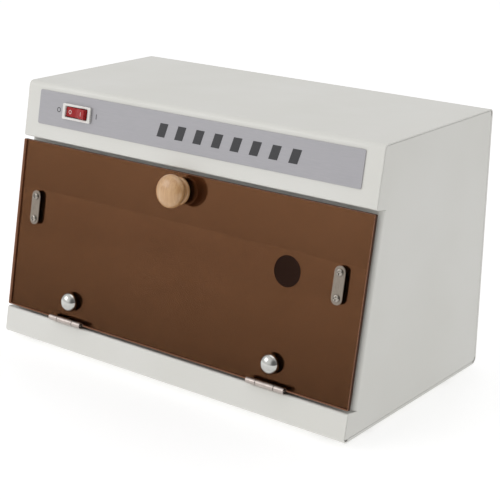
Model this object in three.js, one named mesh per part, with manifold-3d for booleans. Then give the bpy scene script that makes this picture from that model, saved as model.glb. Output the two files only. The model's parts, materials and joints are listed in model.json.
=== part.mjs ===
// A small bench cabinet that sterilises tools with ultraviolet light. Its slanted front has a rail at the
// bottom, a drop-down door of bronze mirror acrylic, and a fascia with a label plate and a rocker switch.
import * as THREE from "three";
import { mergeVertices } from "three/addons/utils/BufferGeometryUtils.js";
import Module from "manifold-3d";

const wasm = await Module();
wasm.setup();

// Millimetres. X points right, Y to the back and Z up. The origin is the middle of the footprint.
const WIDTH = 370;
const DEPTH = 207.6;
const BODY_HEIGHT = 225.8; // the sheet-metal body, without its feet
const SETBACK = 41.8; // how far the front's top edge lies behind its bottom edge
const FOOT_HEIGHT = 4;
const SHEET = 1.2; // thickness of the body's steel sheet
const GAP = 0.3; // clearance left between pieces that touch
const RECESS = 9.5; // how far the door's frame lies behind the front plane
const FLANGE = 30; // width of the door frame's upright flanges
const JOINT_FLANGE = 12; // width of the hidden flanges and hems where the sheets meet
const LIP = 9; // how far the fascia's lip hangs down behind the door
const RAIL_LIP = 6;
const COVER_FOOT = 30; // how far the cover turns in under the cabinet

// The front is one plane. On it S runs up the slope from the bottom edge, and W points out of the plane.
const LEAN = Math.atan2(SETBACK, BODY_HEIGHT);
const RAIL_TOP = 24.3;
const DOOR = { bottom: 26.3, top: 177.7, thickness: 3, corner: 1 };
const FASCIA_BOTTOM = 180.5;

const HINGE = { x: 109.5, s: 27.4, w: 3.2, length: 37, outerKnuckle: 9.5, radius: 2.6, pin: 1, leaf: 0.6 };
const CAP = { s: 44.5, radius: 8.6, stud: 2 }; // the domed caps that clamp the hinges to the door
const CATCH = { x: 162, s: 119.2, pitch: 20, width: 10, length: 30.5, shank: 1.4 };
const KNOB = { x: -1, s: 162.5, base: 11.4, head: 13.85, height: 20, screw: 1.9, hole: 13 };
const SPOT = { x: 112, s: 119.3, radius: 12.6, sides: 32 }; // the round black plug in the door

const LABEL = { bottom: 193.8, top: 223.6, width: 339.2, corner: 1.5, thickness: 0.4 };
const SWITCH = { x: -123.1, s: 208.7, width: 32.5, height: 13.7, rim: 1.9, depth: 18, tag: 6 };
const ROCKER = { width: 25, height: 8.5, tilt: THREE.MathUtils.degToRad(10), play: 0.6, pivot: 0.7 };

const CEILING_Z = 182; // underside of the sheet between the chamber and the electrics
const LAMP = { y: 20, drop: 16, radius: 7.8, length: 288, cap: 7, pinPitch: 5 };
const RACK = { halfWidth: 150, front: -70, back: 84, height: 28, wire: 2, bars: 15 };
const INLET = { x: 138, z: 205, width: 27.4, height: 19.8, wall: 1.5, depth: 17, cavity: 13.5 };
const INLET_FLANGE = { width: 31, height: 24, thickness: 2.5 };
const VENTS = { x: -80, z: 206, count: 12, pitch: 10, height: 24 };
const FEET = { x: 160, front: 18, back: 165, radius: 6 }; // front and back count from the front edge
const BASE_SCREWS = { inset: 6.5, front: 42, back: 162 };

// The hinge barrels stand out in front and the inlet's flange behind: the body is placed so that the whole
// object is centred on the origin.
const FRONT_PROUD = HINGE.w * Math.cos(LEAN) - HINGE.s * Math.sin(LEAN) + HINGE.radius;
const BACK_PROUD = GAP + INLET_FLANGE.thickness;
const HALF = WIDTH / 2;
const FRONT_Y = -DEPTH / 2 + (FRONT_PROUD - BACK_PROUD) / 2;
const BACK_Y = FRONT_Y + DEPTH;
const BASE_Z = FOOT_HEIGHT;
const TOP_Z = BASE_Z + BODY_HEIGHT;
const SIDE_BOTTOM = BASE_Z + 2 * SHEET + GAP;
const SIDE_BACK = BACK_Y - 2 * SHEET - GAP;
const BETWEEN_SIDES = HALF - SHEET - GAP;
const BETWEEN_FLANGES = HALF - FLANGE - GAP;
const DOOR_BACK = -DOOR.thickness - GAP; // W of what is fastened to the door's inside
const LAMP_Z = CEILING_Z - LAMP.drop;
const ELECTRICS_Z = CEILING_Z + SHEET + GAP;
const SIDES = [
  { name: "left", sign: -1 },
  { name: "right", sign: 1 },
];

const cabinet = new THREE.Group();
const front = new THREE.Group(); // its axes are X, S and W
front.position.set(0, FRONT_Y, BASE_Z);
front.rotation.x = Math.PI / 2 - LEAN;
cabinet.add(front);
front.updateMatrixWorld(true);

// ---- finishes ----

function finish(color, roughness, metalness = 0, opacity = 1) {
  const transparent = opacity < 1;
  return new THREE.MeshStandardMaterial({ color, roughness, metalness, opacity, transparent });
}

const enamel = () => finish(0xdedcd6, 0.45);
const zinc = () => finish(0xb9bcbf, 0.4, 0.9);
const chrome = () => finish(0xd8d8d8, 0.08, 1);
const stainless = () => finish(0xa8a29a, 0.35, 1);
const rubber = () => finish(0x222222, 0.85);
const whitePlastic = () => finish(0xe8e6e0, 0.4);
const blackPlastic = () => finish(0x1c1c1c, 0.5);

// ---- solids ----

function solid(geometry) {
  const bare = geometry.clone();
  bare.deleteAttribute("normal");
  bare.deleteAttribute("uv");
  const merged = mergeVertices(bare, 1e-4);
  const vertProperties = new Float32Array(merged.attributes.position.array);
  const triVerts = new Uint32Array(merged.index.array);
  return new wasm.Manifold(new wasm.Mesh({ numProp: 3, vertProperties, triVerts }));
}

function surface(manifold) {
  const mesh = manifold.getMesh();
  const positions = new THREE.BufferAttribute(mesh.vertProperties, 3);
  const index = new THREE.BufferAttribute(mesh.triVerts, 1);
  return new THREE.BufferGeometry().setAttribute("position", positions).setIndex(index);
}

function joined(...geometries) {
  return surface(geometries.map(solid).reduce((whole, part) => whole.add(part)));
}

function cut(geometry, ...tools) {
  return surface(tools.map(solid).reduce((whole, tool) => whole.subtract(tool), solid(geometry)));
}

function piece(parent, name, geometry, material) {
  const mesh = new THREE.Mesh(geometry, material);
  mesh.name = name;
  parent.add(mesh);
  return mesh;
}

// A block between two opposite corners.
function block(x0, x1, y0, y1, z0, z1) {
  const geometry = new THREE.BoxGeometry(Math.abs(x1 - x0), y1 - y0, z1 - z0);
  return geometry.translate((x0 + x1) / 2, (y0 + y1) / 2, (z0 + z1) / 2);
}

// A round rod between two points.
function rod(from, to, radius, sides = 10) {
  const start = new THREE.Vector3(...from);
  const along = new THREE.Vector3(...to).sub(start);
  const geometry = new THREE.CylinderGeometry(radius, radius, along.length(), sides);
  const up = new THREE.Vector3(0, 1, 0);
  geometry.applyQuaternion(new THREE.Quaternion().setFromUnitVectors(up, along.clone().normalize()));
  return geometry.translate(...start.addScaledVector(along, 0.5).toArray());
}

// A turned solid around Z, from [radius, height] pairs that start and end on the axis.
function turned(profile, sides = 16) {
  const points = profile.map(([radius, height]) => new THREE.Vector2(radius, height));
  return new THREE.LatheGeometry(points, sides).rotateX(Math.PI / 2);
}

// The [radius, height] pairs of a quarter of an ellipse, from its rim to the axis.
function domeProfile(radius, foot, height, steps = 6) {
  return Array.from({ length: steps + 1 }, (_, i) => {
    const angle = ((Math.PI / 2) * i) / steps;
    return [i === steps ? 0 : radius * Math.cos(angle), foot + height * Math.sin(angle)];
  });
}

function extruded(shape, depth, curveSegments = 3) {
  return new THREE.ExtrudeGeometry(shape, { depth, bevelEnabled: false, curveSegments });
}

// A section drawn in Y and Z, pulled along X.
function pulledAlongX(shape, x0, x1) {
  const [x, y, z] = [new THREE.Vector3(1, 0, 0), new THREE.Vector3(0, 1, 0), new THREE.Vector3(0, 0, 1)];
  const basis = new THREE.Matrix4().makeBasis(y, z, x);
  return extruded(shape, x1 - x0).applyMatrix4(basis).translate(x0, 0, 0);
}

// A section drawn in X and W, pulled along S.
function pulledAlongS(shape, s0, s1) {
  return extruded(shape, s1 - s0).rotateX(Math.PI / 2).translate(0, s1, 0);
}

function roundedRectangle(x, y, width, height, radius) {
  const right = x + width / 2 - radius;
  const top = y + height / 2 - radius;
  const left = x - width / 2 + radius;
  const bottom = y - height / 2 + radius;
  const centres = [
    [right, top],
    [left, top],
    [left, bottom],
    [right, bottom],
  ];
  const shape = new THREE.Shape();
  centres.forEach(([cx, cy], turn) => {
    shape.absarc(cx, cy, radius, (turn * Math.PI) / 2, ((turn + 1) * Math.PI) / 2, false);
  });
  return shape.closePath();
}

// A line through the corners, with each inner corner rounded to its own radius.
function roundedLine(corners, radii, steps = 4) {
  const line = [corners[0]];
  radii.forEach((radius, i) => {
    const corner = corners[i + 1];
    const before = corners[i].clone().sub(corner).normalize();
    const after = corners[i + 2].clone().sub(corner).normalize();
    const half = Math.acos(before.dot(after)) / 2;
    const inward = before.clone().add(after).normalize();
    const centre = corner.clone().addScaledVector(inward, radius / Math.sin(half));
    const arm = corner.clone().addScaledVector(before, radius / Math.tan(half)).sub(centre);
    const turn = -Math.sign(before.cross(after)) * (Math.PI - 2 * half);
    const middle = new THREE.Vector2();
    for (let k = 0; k <= steps; k++)
      line.push(arm.clone().rotateAround(middle, (turn * k) / steps).add(centre));
  });
  line.push(corners[corners.length - 1]);
  return line;
}

// The section of a bent sheet whose middle follows a line.
function sheetSection(line, thickness) {
  const last = line.length - 1;
  const normal = (i) => {
    const along = line[i + 1].clone().sub(line[i]).normalize();
    return new THREE.Vector2(-along.y, along.x);
  };
  const outer = [];
  const inner = [];
  line.forEach((point, i) => {
    const before = normal(Math.max(i - 1, 0));
    const mitre = normal(Math.min(i, last - 1)).add(before).normalize();
    const reach = thickness / 2 / mitre.dot(before);
    outer.push(point.clone().addScaledVector(mitre, reach));
    inner.unshift(point.clone().addScaledVector(mitre, -reach));
  });
  return new THREE.Shape([...outer, ...inner]);
}

// A round wire along a smooth curve through the points.
function wire(points, radius) {
  const curve = new THREE.CatmullRomCurve3(points.map((point) => new THREE.Vector3(...point)));
  const section = new THREE.Shape().absarc(0, 0, radius, 0, 2 * Math.PI, false);
  const steps = Math.round(curve.getLength() / (8 * radius));
  return new THREE.ExtrudeGeometry(section, {
    steps,
    extrudePath: curve,
    bevelEnabled: false,
    curveSegments: 4,
  });
}

// A point of the front's frame as a point of the side view, in Y and Z.
function onFront(s, w) {
  const y = FRONT_Y + s * Math.sin(LEAN) - w * Math.cos(LEAN);
  return new THREE.Vector2(y, BASE_Z + s * Math.cos(LEAN) + w * Math.sin(LEAN));
}

// The S at which a plane parallel to the front, at W, meets a level plane.
function slopeAt(z, w) {
  return (z - BASE_Z - w * Math.sin(LEAN)) / Math.cos(LEAN);
}

function inFront(geometry) {
  return geometry.clone().applyMatrix4(front.matrixWorld);
}

// ---- body ----

// The hems that double a sheet's edges next to both side panels.
function hems(y0, y1, z0, z1) {
  return SIDES.map(({ sign }) => block(sign * (HALF - JOINT_FLANGE), sign * HALF, y0, y1, z0, z1));
}

// Keeps a front sheet's return clear of the side panels, and its lip clear of the upright flanges.
function frontNotches(returnS, lipBottom, lipTop) {
  return SIDES.flatMap(({ sign }) => {
    const end = sign * (HALF + 1);
    return [
      inFront(block(sign * BETWEEN_SIDES, end, returnS - 2, returnS + 2, -RECESS - 3, -SHEET - 0.1)),
      inFront(block(sign * BETWEEN_FLANGES, end, lipBottom, lipTop, -RECESS - 3, -RECESS + 1.5)),
    ];
  });
}

// The hole through the fascia and the label plate that the switch sits in.
function switchHole() {
  const width = ROCKER.width + 2 * ROCKER.play + 2.6;
  const height = ROCKER.height + 2 * ROCKER.play + 2.4;
  const x = SWITCH.x - width / 2;
  const s = SWITCH.s - height / 2;
  return block(x, x + width, s, s + height, -SHEET - 2, 3);
}

// A row of upright slots that lets the ballast's heat out.
function vents() {
  return Array.from({ length: VENTS.count }, (_, i) => {
    const slot = extruded(roundedRectangle(VENTS.x + i * VENTS.pitch, 0, 3, VENTS.height, 1.49), 8);
    return slot.rotateX(Math.PI / 2).translate(0, BACK_Y + 3, VENTS.z);
  });
}

function inletBlock(width, height, y0, y1) {
  const { x, z } = INLET;
  return block(x - width / 2, x + width / 2, y0, y1, z - height / 2, z + height / 2);
}

function topBackCover() {
  const top = TOP_Z - SHEET / 2;
  const back = BACK_Y - SHEET / 2;
  const bottom = BASE_Z + SHEET / 2;
  const returnS = FASCIA_BOTTOM + SHEET / 2;
  const lipW = -RECESS - SHEET / 2;
  const line = roundedLine(
    [
      onFront(returnS - LIP, lipW),
      onFront(returnS, lipW),
      onFront(returnS, -SHEET / 2),
      onFront(slopeAt(top, -SHEET / 2), -SHEET / 2),
      new THREE.Vector2(back, top),
      new THREE.Vector2(back, bottom),
      new THREE.Vector2(BACK_Y - COVER_FOOT, bottom),
    ],
    [1.4, 1.4, 4, 3.4, 4.4],
  );
  const sheet = joined(
    pulledAlongX(sheetSection(line, SHEET), -HALF, HALF),
    ...hems(BACK_Y - 2 * SHEET, BACK_Y - SHEET / 2, BASE_Z + 6, TOP_Z - 6),
    ...hems(BACK_Y - COVER_FOOT, BACK_Y - 6, BASE_Z + SHEET / 2, BASE_Z + 2 * SHEET),
  );
  return cut(
    sheet,
    ...frontNotches(returnS, FASCIA_BOTTOM - LIP - 1, FASCIA_BOTTOM - 0.1),
    inletBlock(INLET.width + 2 * GAP, INLET.height + 2 * GAP, BACK_Y - 5, BACK_Y + 5),
    inFront(switchHole()),
    ...vents(),
  );
}

const footSpots = SIDES.flatMap(({ name, sign }) => [
  { name: name + "_front", x: sign * FEET.x, y: FRONT_Y + FEET.front },
  { name: name + "_back", x: sign * FEET.x, y: FRONT_Y + FEET.back },
]);

const baseScrewSpots = SIDES.flatMap(({ name, sign }) => [
  { name: name + "_front", x: sign * (HALF - BASE_SCREWS.inset), y: FRONT_Y + BASE_SCREWS.front },
  { name: name + "_back", x: sign * (HALF - BASE_SCREWS.inset), y: FRONT_Y + BASE_SCREWS.back },
]);

function uprightHole({ x, y }, radius) {
  return rod([x, y, 0], [x, y, BASE_Z + 8], radius);
}

function baseTray() {
  const bottom = BASE_Z + SHEET / 2;
  const returnS = RAIL_TOP - SHEET / 2;
  const lipW = -RECESS - SHEET / 2;
  const end = BACK_Y - COVER_FOOT - 2 * GAP;
  const line = roundedLine(
    [
      onFront(returnS + RAIL_LIP, lipW),
      onFront(returnS, lipW),
      onFront(returnS, -SHEET / 2),
      onFront(slopeAt(bottom, -SHEET / 2), -SHEET / 2),
      new THREE.Vector2(end, bottom),
    ],
    [1.4, 1.4, 2.6],
  );
  return cut(
    joined(
      pulledAlongX(sheetSection(line, SHEET), -HALF, HALF),
      ...hems(FRONT_Y + 6, end, bottom, BASE_Z + 2 * SHEET),
    ),
    ...frontNotches(returnS, RAIL_TOP + 0.1, RAIL_TOP + RAIL_LIP + 1),
    ...baseScrewSpots.map((spot) => uprightHole(spot, 1.9)),
    ...footSpots.map((spot) => uprightHole(spot, 2.4)),
  );
}

// The right side panel: a flat sheet, turned in to a wide flange beside the door and to narrow ones inside.
function sidePanel() {
  const bend = 4;
  const edgeW = -SHEET - GAP;
  const stepW = -RECESS - bend;
  const level = TOP_Z - SHEET - GAP;
  const inner = HALF - JOINT_FLANGE;
  const outline = roundedLine(
    [
      onFront(RAIL_TOP / 2, edgeW),
      onFront(RAIL_TOP, edgeW),
      onFront(RAIL_TOP, stepW),
      onFront(FASCIA_BOTTOM, stepW),
      onFront(FASCIA_BOTTOM, edgeW),
      onFront(slopeAt(level, edgeW), edgeW),
      new THREE.Vector2(SIDE_BACK, level),
      new THREE.Vector2(SIDE_BACK, SIDE_BOTTOM),
      onFront(slopeAt(SIDE_BOTTOM, edgeW), edgeW),
      onFront(RAIL_TOP / 2, edgeW),
    ],
    [0.4, 0.4, 0.4, 0.4, 2.8, 2.2, 2.6, 1.2],
  );
  const turnedIn = roundedLine(
    [
      new THREE.Vector2(HALF - SHEET / 2, stepW - 1),
      new THREE.Vector2(HALF - SHEET / 2, -RECESS - SHEET / 2),
      new THREE.Vector2(HALF - FLANGE, -RECESS - SHEET / 2),
    ],
    [bend - SHEET / 2],
  );
  const sheet = joined(
    pulledAlongX(new THREE.Shape(outline.slice(0, -1)), HALF - SHEET, HALF),
    inFront(pulledAlongS(sheetSection(turnedIn, SHEET), RAIL_TOP + GAP, FASCIA_BOTTOM - GAP)),
    block(inner, HALF - SHEET / 2, FRONT_Y + 14, SIDE_BACK - 6, SIDE_BOTTOM, SIDE_BOTTOM + SHEET),
    block(inner, HALF - SHEET / 2, FRONT_Y + SETBACK + 12, SIDE_BACK - 6, level - SHEET, level),
    block(inner, HALF - SHEET / 2, SIDE_BACK - SHEET, SIDE_BACK, BASE_Z + 14, TOP_Z - 14),
  );
  return cut(sheet, ...baseScrewSpots.slice(2).map((spot) => uprightHole(spot, 1.9)));
}

function addBody() {
  piece(cabinet, "top_back_cover", topBackCover(), enamel());
  piece(cabinet, "base_tray", baseTray(), enamel());
  for (const { name, sign } of SIDES)
    piece(cabinet, "side_panel_" + name, sidePanel(), enamel()).scale.x = sign;
  for (const { name, x, y } of footSpots) {
    const profile = [[0, 0], [5.2, 0], [FEET.radius, 0.8], [5.4, BASE_Z - GAP]];
    const stem = [[2, BASE_Z - GAP], [2, BASE_Z + 4], [0, BASE_Z + 4]];
    piece(cabinet, "foot_" + name, turned([...profile, ...stem]), rubber()).position.set(x, y, 0);
  }
  for (const { name, x, y } of baseScrewSpots) {
    const head = [[0, 1.9], [2.4, 1.9], [3.3, 2.7], [3.4, BASE_Z - GAP]];
    const shank = [[1.5, BASE_Z - GAP], [1.5, BASE_Z + 6.5], [0, BASE_Z + 6.5]];
    piece(cabinet, "base_screw_" + name, turned([...head, ...shank], 16), zinc()).position.set(x, y, 0);
  }
}

// ---- chamber ----

function chamberCeiling() {
  const back = SIDE_BACK - SHEET - GAP;
  const sheet = block(-BETWEEN_SIDES, BETWEEN_SIDES, FRONT_Y + 41, back, CEILING_Z, CEILING_Z + SHEET);
  const flanges = SIDES.map(({ sign }) =>
    block(
      sign * BETWEEN_SIDES,
      sign * (BETWEEN_SIDES - SHEET),
      FRONT_Y + 60,
      back - 6,
      CEILING_Z - 10,
      CEILING_Z + SHEET / 2,
    ),
  );
  const leadHoles = SIDES.map(({ sign }) => {
    const x = sign * (LAMP.length / 2 + 6);
    return rod([x, LAMP.y, CEILING_Z - 3], [x, LAMP.y, CEILING_Z + 4], 2.5);
  });
  return cut(joined(sheet, ...flanges), ...leadHoles);
}

function lampReflector() {
  const thickness = 0.8;
  const top = CEILING_Z - GAP - thickness / 2;
  const corners = [
    [-34, top - 11],
    [-16, top],
    [16, top],
    [34, top - 11],
  ].map(([y, z]) => new THREE.Vector2(LAMP.y + y, z));
  return pulledAlongX(sheetSection(roundedLine(corners, [3, 3]), thickness), -136, 136);
}

// The right lamp holder, open downwards for the lamp's pins.
function lampHolder() {
  const near = LAMP.length / 2 + GAP;
  const [bottom, top] = [LAMP_Z - 11, CEILING_Z - GAP];
  const section = roundedRectangle(LAMP.y, (bottom + top) / 2, 22, top - bottom, 4);
  const body = pulledAlongX(section, near, near + 10);
  const slot = block(near - 1, near + 8, LAMP.y - 1.6, LAMP.y + 1.6, bottom - 1, LAMP_Z + 4.5);
  return cut(body, slot);
}

// The right lamp cap with its two pins.
function lampCap() {
  const end = LAMP.length / 2;
  const pins = [-1, 1].map((k) => {
    const z = LAMP_Z + (k * LAMP.pinPitch) / 2;
    return rod([end - 1, LAMP.y, z], [end + 7, LAMP.y, z], 1.1, 8);
  });
  return joined(rod([end - LAMP.cap, LAMP.y, LAMP_Z], [end, LAMP.y, LAMP_Z], 8, 20), ...pins);
}

// A wire shelf that stands on the chamber's floor on two bent runners.
function wireRack() {
  const { halfWidth, front: y0, back: y1, wire: radius } = RACK;
  const floor = BASE_Z + SHEET + GAP + radius;
  const top = BASE_Z + SHEET + RACK.height;
  const xs = [-halfWidth, halfWidth];
  const rods = [];
  for (const y of [y0, y1]) rods.push(rod([-halfWidth, y, top], [halfWidth, y, top], radius, 8));
  for (const x of xs) {
    rods.push(rod([x, y0, top], [x, y1, top], radius, 8));
    rods.push(rod([x, y0 + 12, floor], [x, y1 - 12, floor], radius, 8));
    for (const y of [y0 + 12, y1 - 12]) rods.push(rod([x, y, floor], [x, y, top], radius, 8));
    for (const [y, z] of [[y0, top], [y1, top], [y0 + 12, floor], [y1 - 12, floor]])
      rods.push(new THREE.SphereGeometry(radius, 8, 6).translate(x, y, z));
  }
  for (let i = 1; i <= RACK.bars; i++) {
    const x = -halfWidth + (2 * halfWidth * i) / (RACK.bars + 1);
    rods.push(rod([x, y0, top + 1.4], [x, y1, top + 1.4], 1.2, 6));
  }
  return joined(...rods);
}

function addChamber() {
  piece(cabinet, "chamber_ceiling", chamberCeiling(), enamel());
  piece(cabinet, "lamp_reflector", lampReflector(), finish(0xd0d2d4, 0.15, 1));
  const glass = LAMP.length / 2 - LAMP.cap - GAP;
  const tube = rod([-glass, LAMP.y, LAMP_Z], [glass, LAMP.y, LAMP_Z], LAMP.radius, 20);
  piece(cabinet, "uv_lamp_tube", tube, finish(0xe4ecf4, 0.1, 0, 0.6));
  for (const { name, sign } of SIDES) {
    piece(cabinet, "lamp_cap_" + name, lampCap(), finish(0xc4c6c8, 0.3, 1)).scale.x = sign;
    piece(cabinet, "lamp_holder_" + name, lampHolder(), whitePlastic()).scale.x = sign;
  }
  piece(cabinet, "wire_rack", wireRack(), chrome());
}

// ---- electrics, above the ceiling ----

function ballast() {
  return joined(
    block(-46, 76, 14, 46, ELECTRICS_Z, ELECTRICS_Z + SHEET),
    block(-30, 60, 10, 50, ELECTRICS_Z + 1, ELECTRICS_Z + 30),
    block(-36, 66, 18, 42, ELECTRICS_Z + 5, ELECTRICS_Z + 25),
  );
}

function terminalBlock() {
  const [x0, x1, y0, y1] = [-62, -32, 60, 76];
  const body = block(x0, x1, y0, y1, ELECTRICS_Z, ELECTRICS_Z + 12);
  const wells = [-57, -47, -37].map((x) => rod([x, 68, ELECTRICS_Z + 11], [x, 68, ELECTRICS_Z + 16], 3.4));
  return joined(body, ...wells);
}

function starterSocket() {
  const base = block(88, 98, -31, -9, ELECTRICS_Z, ELECTRICS_Z + 14);
  return joined(base, rod([88, -20, ELECTRICS_Z + 14], [98, -20, ELECTRICS_Z + 14], 12, 20));
}

function starter() {
  const z = ELECTRICS_Z + 14;
  const can = [[0, 0], [9.5, 0], [10.5, 1], [10.5, 30], [9.5, 31.5], [0, 31.5]];
  return turned(can, 20).rotateY(Math.PI / 2).translate(98 + GAP, -20, z);
}

function mainsInlet() {
  const { width, height, wall, depth, cavity } = INLET;
  const face = BACK_Y + BACK_PROUD;
  const body = joined(
    inletBlock(INLET_FLANGE.width, INLET_FLANGE.height, BACK_Y + GAP, face),
    inletBlock(width, height, BACK_Y - depth, face - 1),
  );
  return cut(
    body,
    inletBlock(width - 2 * wall, height - 2 * wall, BACK_Y - cavity, face + 1),
    ...inletBlades().map(({ x, z }) => bladeBlock(x, z, GAP, BACK_Y - depth - 1, BACK_Y)),
  );
}

function inletBlades() {
  return [
    { name: "earth", x: INLET.x, z: INLET.z + 3.5 },
    { name: "live", x: INLET.x - 7, z: INLET.z - 2 },
    { name: "neutral", x: INLET.x + 7, z: INLET.z - 2 },
  ];
}

function bladeBlock(x, z, extra, y0, y1) {
  return block(x - 1 - extra, x + 1 + extra, y0, y1, z - 2 - extra, z + 2 + extra);
}

const switchTagEnd = onFront(SWITCH.s, -SWITCH.depth - SWITCH.tag - GAP);

const leads = {
  switch_lead: [
    [SWITCH.x - 8, switchTagEnd.x, switchTagEnd.y],
    [SWITCH.x - 8, switchTagEnd.x + 16, switchTagEnd.y - 2],
    [-112, 10, 192],
    [-84, 60, 189],
    [-70, 67.5, 189],
    [-62 - 2 * GAP, 68, 189],
  ],
  mains_lead: [
    [INLET.x - 7, BACK_Y - 22 - GAP, INLET.z - 2],
    [INLET.x - 8, BACK_Y - 34, INLET.z - 4],
    [104, 68, 191],
    [20, 72, 188],
    [-24, 68.5, 189],
    [-32 + 2 * GAP, 68, 189],
  ],
  ballast_lead: [
    [-47, 60 - GAP, 189],
    [-47.5, 54, 190],
    [-50, 38, 196],
    [-45, 30.5, 199],
    [-36 - 2 * GAP, 30, 199],
  ],
  lamp_lead: [
    [66 + 2 * GAP, 30, 199],
    [76, 30.5, 199],
    [96, 34, 198],
    [126, 30, 196],
    [LAMP.length / 2 + 6, LAMP.y, 190],
    [LAMP.length / 2 + 6, LAMP.y, CEILING_Z],
  ],
  starter_lead: [
    [88 - 2 * GAP, -14, 190],
    [80, -13.5, 189.5],
    [56, -6, 193],
    [50.5, 3, 195.5],
    [50, 10 - 2 * GAP, 196],
  ],
};

function addElectrics() {
  piece(cabinet, "ballast", ballast(), finish(0x8f9296, 0.5, 0.8));
  piece(cabinet, "terminal_block", terminalBlock(), whitePlastic());
  piece(cabinet, "starter_socket", starterSocket(), whitePlastic());
  piece(cabinet, "starter", starter(), finish(0xc9ccd0, 0.3, 0.9));
  piece(cabinet, "mains_inlet", mainsInlet(), blackPlastic());
  for (const { name, x, z } of inletBlades()) {
    const blade = bladeBlock(x, z, 0, BACK_Y - 22, BACK_Y - 2.5);
    piece(cabinet, "inlet_blade_" + name, blade, finish(0xc0b89a, 0.3, 1));
  }
  for (const [name, points] of Object.entries(leads))
    piece(cabinet, name, wire(points, 1.2), finish(0x8a2b22, 0.6));
}

// ---- fascia ----

function switchBezel() {
  const { x, s, width, height, rim, depth, tag } = SWITCH;
  const face = GAP + LABEL.thickness + GAP;
  const pocketWidth = ROCKER.width + 2 * ROCKER.play;
  const pocketHeight = ROCKER.height + 2 * ROCKER.play;
  const frame = roundedRectangle(x, s, width, height, 1);
  const body = roundedRectangle(x, s, pocketWidth + 2, pocketHeight + 1.8, 0.8);
  const pocket = roundedRectangle(x, s, pocketWidth, pocketHeight, 0.8);
  const tags = [-8, 0, 8].map((t) =>
    block(x + t - 2.4, x + t + 2.4, s - 0.4, s + 0.4, -depth - tag, -depth + 1),
  );
  return cut(
    joined(
      extruded(frame, rim).translate(0, 0, face),
      extruded(body, depth + face + 1).translate(0, 0, -depth),
      ...tags,
    ),
    extruded(pocket, depth + 10).translate(0, 0, -8),
  );
}

// The rocker is drawn level, around its pivot, and then set to its off position.
function rocker() {
  const half = ROCKER.width / 2;
  const keel = Array.from({ length: 7 }, (_, i) => {
    const angle = -Math.PI / 6 - (i * (2 * Math.PI)) / 18;
    return new THREE.Vector2(5.5 * Math.cos(angle), 5.5 * Math.sin(angle));
  });
  const section = new THREE.Shape([
    new THREE.Vector2(-half, 3),
    new THREE.Vector2(-half, -1),
    ...keel.reverse(),
    new THREE.Vector2(half, -1),
    new THREE.Vector2(half, 3),
    new THREE.Vector2(0, 1.6),
  ]);
  return pulledAlongS(section, -ROCKER.height / 2, ROCKER.height / 2);
}

function addFascia() {
  const middle = (LABEL.bottom + LABEL.top) / 2;
  const outline = roundedRectangle(0, middle, LABEL.width, LABEL.top - LABEL.bottom, LABEL.corner);
  const plate = extruded(outline, LABEL.thickness).translate(0, 0, GAP);
  piece(front, "label_plate", cut(plate, switchHole()), finish(0xafafb5, 0.4));
  piece(front, "switch_bezel", switchBezel(), whitePlastic());
  const paddle = piece(front, "switch_rocker", rocker(), finish(0xb4282d, 0.3));
  paddle.position.set(SWITCH.x, SWITCH.s, ROCKER.pivot);
  paddle.rotation.y = -ROCKER.tilt;
}

// ---- door ----

function throughDoor(x, s, radius, sides = 12) {
  return rod([x, s, -DOOR.thickness - 4], [x, s, 4], radius, sides);
}

const catchScrews = SIDES.flatMap(({ name, sign }) => [
  { name: name + "_upper", x: sign * CATCH.x, s: CATCH.s + CATCH.pitch / 2 },
  { name: name + "_lower", x: sign * CATCH.x, s: CATCH.s - CATCH.pitch / 2 },
]);

function doorPanel() {
  const { bottom, top, thickness, corner } = DOOR;
  const outline = roundedRectangle(0, (bottom + top) / 2, WIDTH, top - bottom, corner);
  return cut(
    extruded(outline, thickness).translate(0, 0, -thickness),
    ...catchScrews.map(({ x, s }) => throughDoor(x, s, CATCH.shank + GAP)),
    ...SIDES.map(({ sign }) => throughDoor(sign * HINGE.x, CAP.s, CAP.stud + GAP)),
    throughDoor(KNOB.x, KNOB.s, KNOB.screw + GAP),
    throughDoor(SPOT.x, SPOT.s, SPOT.radius + GAP, SPOT.sides),
  );
}

function doorSpot() {
  const { x, s, radius, sides } = SPOT;
  return rod([x, s, -DOOR.thickness], [x, s, 0], radius, sides);
}

function knob() {
  const { base, head, height, screw, hole } = KNOB;
  const crown = domeProfile(head - 3, height - 4.5, 4.5).slice(1);
  return turned([
    [0, hole],
    [screw + GAP, hole],
    [screw + GAP, GAP],
    [base, GAP],
    [base, 2.6],
    [base - 1.4, 3.6],
    [8.6, 5.4],
    [8.8, 6.6],
    [head - 1.6, 8.4],
    [head - 0.2, 11],
    [head, 12.6],
    [head - 0.5, 14.6],
    [head - 1.6, 15.9],
    ...crown,
  ]);
}

function knobScrew() {
  const head = [[0, DOOR_BACK - 2.2], [3.2, DOOR_BACK - 2.2], [4, DOOR_BACK - 1.2], [4, DOOR_BACK]];
  const shank = [[KNOB.screw, DOOR_BACK], [KNOB.screw, KNOB.hole - 1], [0, KNOB.hole - 1]];
  return turned([...head, ...shank], 16);
}

function catchPlate(x, width, depth, w) {
  const outline = roundedRectangle(x, CATCH.s, width, CATCH.length, width / 2 - 0.01);
  const holes = catchScrews.map((screw) => throughDoor(screw.x, screw.s, CATCH.shank + GAP));
  return cut(extruded(outline, depth).translate(0, 0, w), ...holes);
}

function catchScrew() {
  const plateTop = GAP + 1.2 + GAP;
  const shank = [[0, DOOR_BACK - 1], [CATCH.shank, DOOR_BACK - 1], [CATCH.shank, plateTop]];
  const rim = plateTop + 0.6;
  return turned([...shank, [3, plateTop], ...domeProfile(3, rim, 1.3, 3)], 12);
}

// A knuckle of the barrel between two places along the hinge.
function knuckle(x0, x1) {
  const { s, w, radius, pin } = HINGE;
  return cut(rod([x0, s, w], [x1, s, w], radius, 16), rod([x0 - 1, s, w], [x1 + 1, s, w], pin + GAP, 10));
}

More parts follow.
